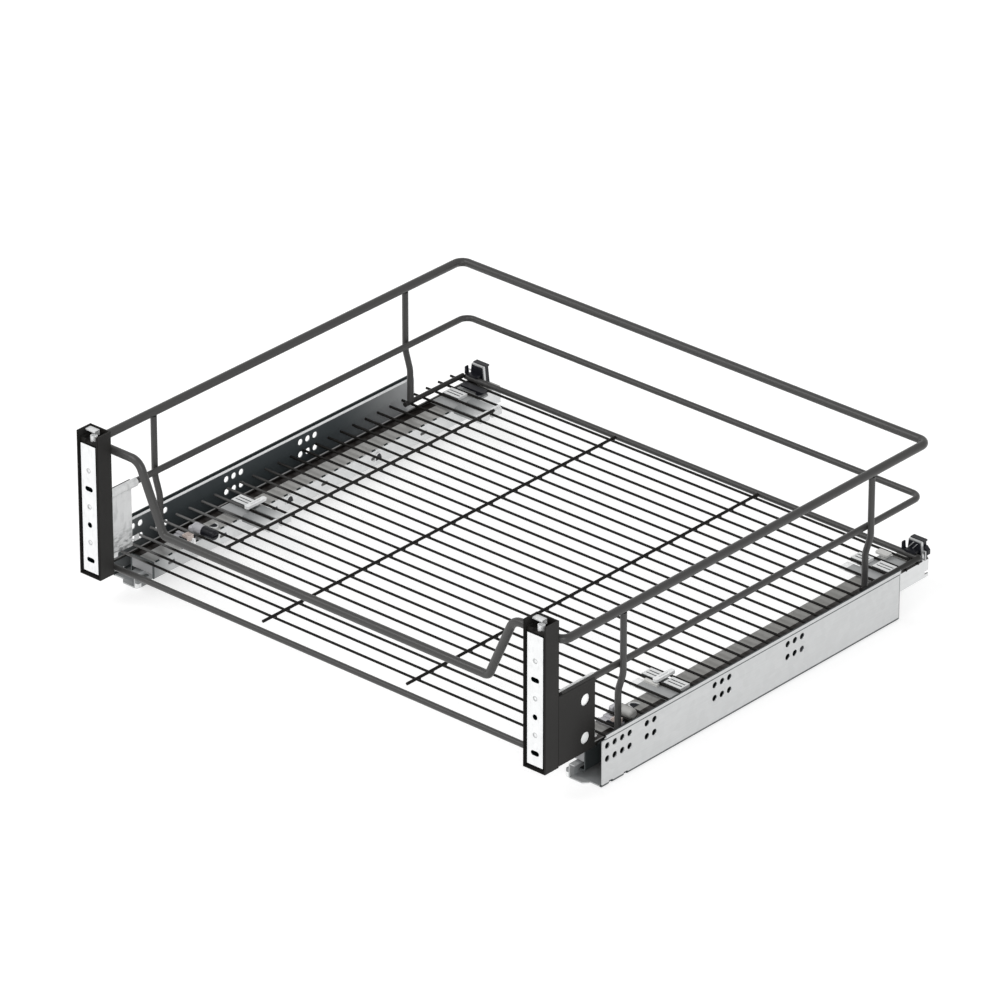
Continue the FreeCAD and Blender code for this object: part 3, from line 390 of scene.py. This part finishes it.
def clipPlastic(name, armed):      # pale ribs over a grey seat, with painted shade in the grooves and down the sides; arms with painted shade near the slide, turning pale towards the rod
    s = clipSettings
    made = Zinc(name, 0.64, 0.76, along=0, metal=0.0)
    x, z, up = made.axis("X"), made.axis("Z"), made.axis("Z", "Normal")
    edge = made.node("ShaderNodeMath", {"operation": "ABSOLUTE"}, {0: made.axis("Y", "Normal")})
    made.shade(z < s["seat"], s["seatTone"])
    if armed:
        # painted shade on the arms near the slide, grading to pale towards the rod
        made.shade(x > s["armStart"], s["armDark"])
        slope = made.ramp(x, s["armStart"], s["claw"])
        made.shade((x > s["armStart"]) * slope * slope, s["armPale"])
        made.shade(x > s["claw"], s["clawTone"])
    else:
        made.shade((x < s["lip"]) * (z < s["seat"]), s["lipTone"])
    # painted shade down the sides of the ribbed plates and in the grooves
    made.shade(made.band(z, s["seat"], s["top"]) * (edge > s["facing"]), s["sideTone"])
    made.shade(made.band(z, s["grooveLow"], s["grooveHigh"]) * (up > s["facing"]), s["grooveTone"])
    return made.done()


barSettings = {"under": 0.0335, "tone": 0.12}


def lockBar():      # white bar, with painted shade beneath
    made = Zinc("lockBar", 0.76, 0.86, metal=0.0)
    # painted shade on the underside
    made.shade(made.axis("Z") < barSettings["under"], barSettings["tone"])
    return made.done()


guideSettings = {"tip": -0.2020, "tipTop": 0.0050, "grey": 0.20}


def frontGuide():      # grey moulding, white at its toe
    made = Zinc("frontGuide", 0.74, 0.84, metal=0.0)
    toe = (made.axis("Y") < guideSettings["tip"]) * (made.axis("Z") < guideSettings["tipTop"])
    made.shade(1 - toe, guideSettings["grey"])
    return made.done()


finishes = {
    "wire_coating": powderCoat("anthraciteCoat", 0.034, 0.052, rough=0.30, gloss=0.36),
    "bracket_coating": bracketCoat(),
    "zinc_sheet": zinc("zincSheet", 0.50, 0.62),
    "bright_zinc": zinc("brightZinc", 0.66, 0.80, along=2, metal=0.2),
    "white_plastic": moulded("whitePlastic", 0.82),
    "pale_plastic": moulded("palePlastic", 0.54, (0.004, 0.002, -0.014)),
    "grey_plastic": moulded("greyPlastic", 0.44, (0.004, 0.0, 0.022)),
    "black_plastic": moulded("blackPlastic", 0.008, (0, 0.0005, 0.004), rough=0.32),
    "trigger_plastic": moulded("triggerPlastic", 0.47, (0.075, 0.0, -0.035), swing=0.12),
    "roller_steel": zinc("rollerSteel", 0.60, 0.72, along=0, metal=1.0),
}
thinWire = floorWire()
ownFinish = {"floor_cross_wires": thinWire, "floor_mid_wires": thinWire, "side_carrier_wires": carrierWire(),
             "floor_clip_rod": powderCoat("clipRodCoat", 0.004, 0.010, gloss=0.2),
             "rear_side_wires": powderCoat("rearWireCoat", 0.006, 0.022, gloss=0.3)}
ownFinish["front_clip_left"] = ownFinish["rear_clip_left"] = clipPlastic("armedClip", True)
ownFinish["front_clip_right"] = ownFinish["rear_clip_right"] = clipPlastic("shortClip", False)
ownFinish["front_lock_left"] = ownFinish["front_lock_right"] = lockBar()
ownFinish["height_wheel_right"] = moulded("rightKnob", 0.34, (0.006, 0.003, -0.008), swing=0.3)
pairFinish = {"cabinet_profile_": slideChannel(), "drawer_profile_": drawerMember(), "hanger_plate_": hangerSheet(),
              "fixing_strip_": panelStrip(), "front_guide_": frontGuide(),
              # the middle profiles are darkened as painted shade inside the slides
              "middle_profile_": zinc("middleSheet", 0.10, 0.15)}
for stem, finish in pairFinish.items():
    ownFinish[stem + "left"] = ownFinish[stem + "right"] = finish
slotOf = {row["node"]: row["material_slot"] for row in frame["record"]["subparts"]}
for name, piece in nodes.items():
    if not piece.material_slots:
        piece.data.materials.append(None)
    for place in piece.material_slots:
        place.material = ownFinish.get(name, finishes[slotOf[name]])
print("finishes set on", len(nodes), "nodes")


def addPiece(name, shape, slot, bevel=0.0, finish=None, steps=3):      # a mesh that moves with the drawer
    sheet = bpy.data.meshes.new(name)
    bmesh.ops.recalc_face_normals(shape, faces=shape.faces)
    shape.to_mesh(sheet)
    shape.free()
    sheet.materials.append(finish or finishes[slot])
    piece = bpy.data.objects.new(name, sheet)
    bpy.context.scene.collection.objects.link(piece)
    if bevel:
        edge = piece.modifiers.new("edge", "BEVEL")
        edge.width = bevel
        edge.segments = steps
    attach(piece, "drawer")


def sweep(shape, outline, run):      # a closed outline carried along a run
    near = [shape.verts.new(point) for point in outline]
    far = [shape.verts.new(Vector(point) + Vector(run)) for point in outline]
    shape.faces.new(near)
    shape.faces.new(far[::-1])
    for i in range(len(near)):
        shape.faces.new((near[i - 1], near[i], far[i], far[i - 1]))


weldSettings = {"radius": 0.0019, "long": 1.25, "flat": 0.5, "lump": 0.00022, "lumpFlat": 0.5,
                "ripple": (3100, 2700), "wires": 28}


def wireRows():      # where the floor cross wires lie, front to rear
    low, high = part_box("floor_cross_wires")
    half, count = (high[2] - low[2]) / 2, weldSettings["wires"]
    first, last = low[1] + half, high[1] - half
    return [first + (last - first) * i / (count - 1) for i in range(count)]


def weldSpots():      # lumps where the lengthwise wires are welded to the floor wires
    s = weldSettings
    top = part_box("floor_cross_wires")[1][2]
    midLow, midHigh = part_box("floor_mid_wires")
    rodLow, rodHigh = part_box("floor_clip_rod")
    middle = (midHigh[2] - midLow[2]) / 2
    lines = [(midLow[0] + middle, midLow, midHigh), (midHigh[0] - middle, midLow, midHigh),
             ((rodLow[0] + rodHigh[0]) / 2, rodLow, rodHigh)]
    shape = bmesh.new()
    for x, start, end in lines:
        for i, y in enumerate(wireRows()):
            if start[1] < y < end[1]:
                spot = Matrix.Translation((x, y, top)) @ Matrix.Diagonal((1, s["long"], s["flat"], 1))
                made = bmesh.ops.create_icosphere(shape, subdivisions=2, radius=s["radius"], matrix=spot)
                for corner in made["verts"]:
                    corner.co.x += s["lump"] * math.sin(s["ripple"][0] * corner.co.y + i)
                    corner.co.z += s["lump"] * math.sin(s["ripple"][1] * corner.co.x + 2 * i) * s["lumpFlat"]
    for face in shape.faces:
        face.smooth = True
    addPiece("weldSpots", shape, "wire_coating", finish=powderCoat("weldCoat", 0.010, 0.060, gloss=0.3))


archSettings = {"width": 0.0084, "height": 0.0066, "rim": 0.0011, "stand": 0.0008, "holeShare": 0.3, "steps": 10,
                "places": [("top", 0.2455, -0.1144), ("wall", 0.0186, -0.0250), ("wall", 0.0162, 0.0910)]}


def archOutline(grow):      # half-round above a flat foot, as width and height
    s = archSettings
    half, tall = s["width"] / 2 + grow, s["height"] + grow
    turns = [math.pi * i / s["steps"] for i in range(s["steps"] + 1)]
    return [(half * math.cos(turn), tall * math.sin(turn)) for turn in turns]


def lancedArches():      # pressed arches in the drawer profiles, with black sheets in their openings as painted shade
    s = archSettings
    rims, holes = bmesh.new(), bmesh.new()
    for sign, side in ((-1, "left"), (1, "right")):
        low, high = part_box("drawer_profile_" + side)
        wall = high[0] if sign < 0 else low[0]
        top = high[2]
        for face, spot, y in s["places"]:
            def onFace(across, rise, stand):
                if face == "top":
                    return (sign * (spot - rise), y + across, top + stand)
                return (wall - sign * stand, y + across, spot + rise)
            outer = archOutline(s["rim"])
            inner = archOutline(0)
            run = Vector(onFace(0, 0, s["stand"])) - Vector(onFace(0, 0, 0))
            sweep(rims, [onFace(a, r, 0) for a, r in outer + inner[::-1]], run)
            # black sheets in the openings stand for the shade inside the arches
            sweep(holes, [onFace(a, r, 0) for a, r in inner], run * s["holeShare"])
    addPiece("archRims", rims, "zinc_sheet", finish=finishes["bright_zinc"])
    addPiece("archHoles", holes, "black_plastic", bevel=0.0001)


tabSettings = {"shift": -0.0052, "width": 0.0110, "sheet": 0.0009, "reach": 0.0062, "foot": 0.0066, "lip": 0.0018,
               "top": 0.0014, "clear": 0.0003}


def clampTabs():      # bent tab on each bracket's clamp, hooked forwards
    s = tabSettings
    for side in ("left", "right"):
        clampLow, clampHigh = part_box("top_clamp_" + side)
        x = (clampLow[0] + clampHigh[0]) / 2 + s["shift"] - s["width"] / 2
        back = clampHigh[1]
        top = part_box("bracket_" + side)[1][2] - s["top"]
        front = back - s["reach"]
        leg = max(top - s["foot"], clampHigh[2] + s["clear"])
        outline = [(back, leg), (back, top), (front, top), (front, top - s["lip"]),
                   (front + s["sheet"], top - s["lip"]), (front + s["sheet"], top - s["sheet"]),
                   (back - s["sheet"], top - s["sheet"]), (back - s["sheet"], leg)]
        shape = bmesh.new()
        sweep(shape, [(x, y, z) for y, z in outline], (s["width"], 0, 0))
        addPiece("clampTab." + side, shape, "bright_zinc", bevel=0.0002)


guardSettings = {"gap": 0.0005, "wall": 0.0013, "height": 0.0030, "shoulder": 0.6, "long": 0.0100, "seat": 0.0012}
toothSettings = {"reach": 0.0062, "width": 0.0024, "back": 0.0016, "foot": 0.0003, "toe": 0.0008, "tip": 0.0012,
                 "peak": 0.0004, "crook": 0.0024, "heel": 0.0018, "peakAt": 0.55, "crookAt": 0.45}


def triggerGuards():      # cheeks beside each trigger, and the left one's white tooth
    s = guardSettings
    for side in ("left", "right"):
        low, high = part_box("release_trigger_" + side)
        seat, shoulder = low[2] + s["seat"], s["height"] * s["shoulder"]
        x0, x1 = high[0] - s["long"], high[0]
        shape = bmesh.new()
        for y in (low[1] - s["gap"] - s["wall"], high[1] + s["gap"]):
            outline = [(x0, y, seat), (x1, y, seat), (x1, y, seat + shoulder),
                       (x1 - s["wall"], y, seat + s["height"]), (x0 + s["wall"], y, seat + s["height"]),
                       (x0, y, seat + shoulder)]
            sweep(shape, outline, (0, s["wall"], 0))
        addPiece("triggerGuard." + side, shape, "black_plastic", bevel=0.0002)
    s = toothSettings
    low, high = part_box("release_trigger_left")
    y = low[1] + s["back"]
    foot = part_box("front_coupling_left")[0][2] + s["foot"]
    profile = [(0, foot), (1, foot + s["toe"]), (1, high[2] - s["tip"]), (s["peakAt"], high[2] - s["peak"]),
               (s["crookAt"], foot + s["crook"]), (0, foot + s["heel"])]
    shape = bmesh.new()
    sweep(shape, [(high[0] + s["reach"] * share, y, z) for share, z in profile], (0, s["width"], 0))
    addPiece("triggerTooth", shape, "white_plastic", bevel=0.0003)


blockSettings = {"start": 0.2245, "width": 0.0150, "deep": 0.0032, "wireGap": 0.0004, "foot": 0.0008,
                 "lean": 0.0009, "bay": 8}


def clipBlock():      # pale block that stands on the right front clip, against the next floor wire
    s = blockSettings
    low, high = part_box("floor_cross_wires")
    y = wireRows()[s["bay"]] - (high[2] - low[2]) / 2 - s["wireGap"]
    foot = low[2] - s["foot"]
    front = y - s["deep"]
    outline = [(y, foot), (y, high[2]), (front + s["lean"], high[2]), (front, high[2] - s["lean"]), (front, foot)]
    shape = bmesh.new()
    sweep(shape, [(s["start"], a, b) for a, b in outline], (s["width"], 0, 0))
    addPiece("clipBlock", shape, "pale_plastic", bevel=0.0003)


footSettings = {"sheet": 0.0010, "places": [(-0.1930, 0.0055, 0.0372, 0.0052, 0.0030),
                                            (-0.2235, 0.0048, 0.0340, 0.0046, 0.0075)], "gusset": 0.0012}


def hangerFeet():      # small bent tabs at the foot of each hanger plate
    s = footSettings
    for side, sign in (("left", -1), ("right", 1)):
        low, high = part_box("bracket_" + side)
        outer = high[0] if sign > 0 else low[0]
        root = outer - sign * 2 * s["gusset"]
        shape = bmesh.new()
        for y, width, z, tall, reach in s["places"]:
            end = root - sign * reach
            within = end + sign * s["sheet"]
            outline = [(root, z), (end, z), (end, z + tall), (within, z + tall), (within, z + s["sheet"]),
                       (root, z + s["sheet"])]
            sweep(shape, [(a, y, b) for a, b in outline], (0, width, 0))
        addPiece("hangerFeet." + side, shape, "bright_zinc", bevel=0.0002)


capSettings = {"foot": 0.0155, "under": 0.0013, "edge": 0.0013, "width": 0.0246, "inset": 0.0002, "sheet": 0.0022,
               "round": 0.0020, "bend": 0.3}


def mouthCaps():      # grey plug in the front mouth of each drawer profile
    s = capSettings
    capFinish = moulded("mouthCapPlastic", 0.24, (0, 0.002, 0.008))
    for side, sign in (("left", -1), ("right", 1)):
        low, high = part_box("drawer_profile_" + side)
        near = (high[0] if sign < 0 else low[0]) + sign * s["edge"]
        far = near + sign * s["width"]
        y, top, r = low[1] + s["inset"], high[2] - s["under"], s["round"]
        bend = r * s["bend"]
        outline = [(near, s["foot"]), (near, top - r), (near + sign * bend, top - bend), (near + sign * r, top),
                   (far - sign * r, top), (far - sign * bend, top - bend), (far, top - r), (far, s["foot"])]
        shape = bmesh.new()
        sweep(shape, [(a, y, b) for a, b in outline], (0, s["sheet"], 0))
        addPiece("mouthCap." + side, shape, "grey_plastic", bevel=0.0003, finish=capFinish)


ringSettings = {"outer": 0.0024, "inner": 0.0018, "clear": 0.00002, "stand": 0.00018, "steps": 24}


def stripRings():      # faint pressed rings round the dimples in both fixing strips, darker as painted shade at the dimples' edges
    s = ringSettings
    crest = (s["outer"] + s["inner"]) / 2
    profile = [(s["outer"], s["clear"]), (crest, s["stand"]), (s["inner"], s["clear"])]
    turns = [2 * math.pi * i / s["steps"] for i in range(s["steps"])]
    shape = bmesh.new()
    for side in ("left", "right"):
        low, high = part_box("fixing_strip_" + side)
        x = (low[0] + high[0]) / 2
        for z in stripSettings["dimples"]:
            loops = [[shape.verts.new((x + r * math.cos(t), low[1] - rise, z + r * math.sin(t))) for t in turns]
                     for r, rise in profile]
            for a, b in zip(loops, loops[1:] + loops[:1]):
                for i in range(s["steps"]):
                    shape.faces.new((a[i - 1], a[i], b[i], b[i - 1]))
    # the darker zinc of the rings is painted shade at the dimples' edges
    addPiece("stripRings", shape, "bright_zinc", finish=zinc("ringEdge", 0.40, 0.55, along=2, metal=0.2))


hookSettings = {"earOut": 0.0103, "earSheet": 0.0020, "earTop": 0.0441, "earFront": 0.2400, "earDeep": 0.0032,
                "earDrop": 0.0012, "earSlant": 0.0008, "earFlare": 0.0006, "lip": 0.0363, "lipSheet": 0.0014}
catchSettings = {"reach": 0.0040, "foot": 0.0330, "top": 0.0415, "deep": 0.0040, "clear": 0.0003, "back": 0.003,
                 "toe": 0.001, "slant": 0.003, "shelf": 0.001}
springSettings = {"places": [(-0.0065, 0.0380), (-0.0028, 0.0369)], "lean": (0.0058, 0.0066), "wire": 0.0010,
                  "stand": 0.0018, "deep": 0.0010}


def hookParts():      # ear on each rear hook's lip; catch and leaning spring wires on the right one
    s = hookSettings
    for side in ("left", "right"):
        low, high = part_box("rear_hook_" + side)
        middleX = (low[0] + high[0]) / 2
        end = middleX - s["earOut"]
        shape = bmesh.new()
        lipTop, within = s["lip"] + s["lipSheet"], end + s["earSheet"]
        ear = [(middleX, s["lip"]), (end, s["lip"]), (end, s["earTop"] - s["earDrop"]),
               (end + s["earSlant"], s["earTop"]), (within, s["earTop"]), (within + s["earFlare"], lipTop),
               (middleX, lipTop)]
        sweep(shape, [(x, s["earFront"], z) for x, z in ear], (0, s["earDeep"], 0))
        if side == "right":
            c, outer = catchSettings, high[0]
            y, back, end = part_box("hook_frame_right")[1][1] + c["clear"], outer - c["back"], outer + c["reach"]
            catch = [(back, c["foot"]), (end, c["foot"] + c["toe"]), (end, c["top"] - c["slant"]),
                     (outer + c["shelf"], c["top"]), (back, c["top"])]
            sweep(shape, [(x, y, z) for x, z in catch], (0, c["deep"], 0))
        addPiece("hookParts." + side, shape, "black_plastic", bevel=0.0002)
    s = springSettings
    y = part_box("hook_frame_right")[0][1] - s["stand"]
    reach, rise = s["lean"]
    shape = bmesh.new()
    for x, z in s["places"]:
        x = x + middleX
        wire = [(x, z), (x + s["wire"], z), (x + s["wire"] + reach, z + rise), (x + reach, z + rise)]
        sweep(shape, [(a, y, b) for a, b in wire], (0, s["deep"], 0))
    springFinish = zinc("springWire", 0.45, 0.60, along=2, metal=0.6)
    addPiece("hookSprings", shape, "bright_zinc", bevel=0.0002, finish=springFinish)


weldSpots()
lancedArches()
clampTabs()
triggerGuards()
clipBlock()
hangerFeet()
mouthCaps()
stripRings()
hookParts()
print("small pieces added")


photoView = {"azimuth": 41.58, "elevation": 27.68, "distance": 7.0, "target": (-0.05375, 0.05053, 0.0546),
             "lens": 288.4, "sensor": 36.0, "farClip": 50}


def photoCamera():
    turn = math.radians(photoView["azimuth"])
    lift = math.radians(photoView["elevation"])
    back = Vector((math.sin(turn) * math.cos(lift), -math.cos(turn) * math.cos(lift), math.sin(lift)))
    lens = bpy.data.cameras.new("photoCamera")
    lens.lens = photoView["lens"]
    lens.sensor_width = photoView["sensor"]
    lens.clip_end = photoView["farClip"]
    made = bpy.data.objects.new("photoCamera", lens)
    made.location = Vector(photoView["target"]) + photoView["distance"] * back
    made.rotation_euler = back.to_track_quat("Z", "Y").to_euler()
    bpy.context.scene.collection.objects.link(made)
    bpy.context.scene.camera = made


lightRig = {"horizon": 0.96, "zenith": 0.58, "rise": (0.15, 0.80), "floorSize": 30.0, "floorDrop": 0.0005,
            "floorTone": 0.52, "floorSwing": 0.01, "floorCloud": 0.8, "floorGlow": 0.62,
            "key": {"from": (-1.6, -2.2, 3.4), "size": 2.4, "watts": 70},
            "fill": {"from": (3.8, -3.9, 3.2), "size": 1.4, "watts": 90}}


def studio():
    sky = Finish("studioWorld", "Background", Strength=1.0)
    height = sky.ramp(sky.axis("Z", "Generated"), *lightRig["rise"])
    sky.feed("Color", sky.blend(height, rgba(lightRig["horizon"]), rgba(lightRig["zenith"])))
    bpy.context.scene.world = sky.material
    for name in ("key", "fill"):
        lamp = bpy.data.lights.new(name + "Light", "AREA")
        lamp.size = lightRig[name]["size"]
        lamp.energy = lightRig[name]["watts"]
        made = bpy.data.objects.new(name + "Light", lamp)
        made.location = lightRig[name]["from"]
        made.rotation_euler = Vector(lightRig[name]["from"]).to_track_quat("Z", "Y").to_euler()
        bpy.context.scene.collection.objects.link(made)
    half = lightRig["floorSize"] / 2
    sheet = bpy.data.meshes.new("studioFloor")
    corners = [(-half, -half, 0), (half, -half, 0), (half, half, 0), (-half, half, 0)]
    sheet.from_pydata(corners, [], [(0, 1, 2, 3)])
    floor = bpy.data.objects.new("studioFloor", sheet)
    floor.location.z = cadLow.z - lightRig["floorDrop"]
    floorPaint = Finish("floorPaint", Roughness=0.9, Specular_IOR_Level=0.1, Emission_Color=(1, 1, 1, 1),
                        Emission_Strength=lightRig["floorGlow"])
    cloud, tone = floorPaint.noise(lightRig["floorCloud"]), lightRig["floorTone"]
    floorPaint.feed("Base Color", floorPaint.blend(cloud, rgba(tone - lightRig["floorSwing"]), rgba(tone)))
    sheet.materials.append(floorPaint.material)
    bpy.context.scene.collection.objects.link(floor)
    bpy.context.scene.view_settings.view_transform = "Standard"


photoCamera()
studio()
print("camera and studio set")
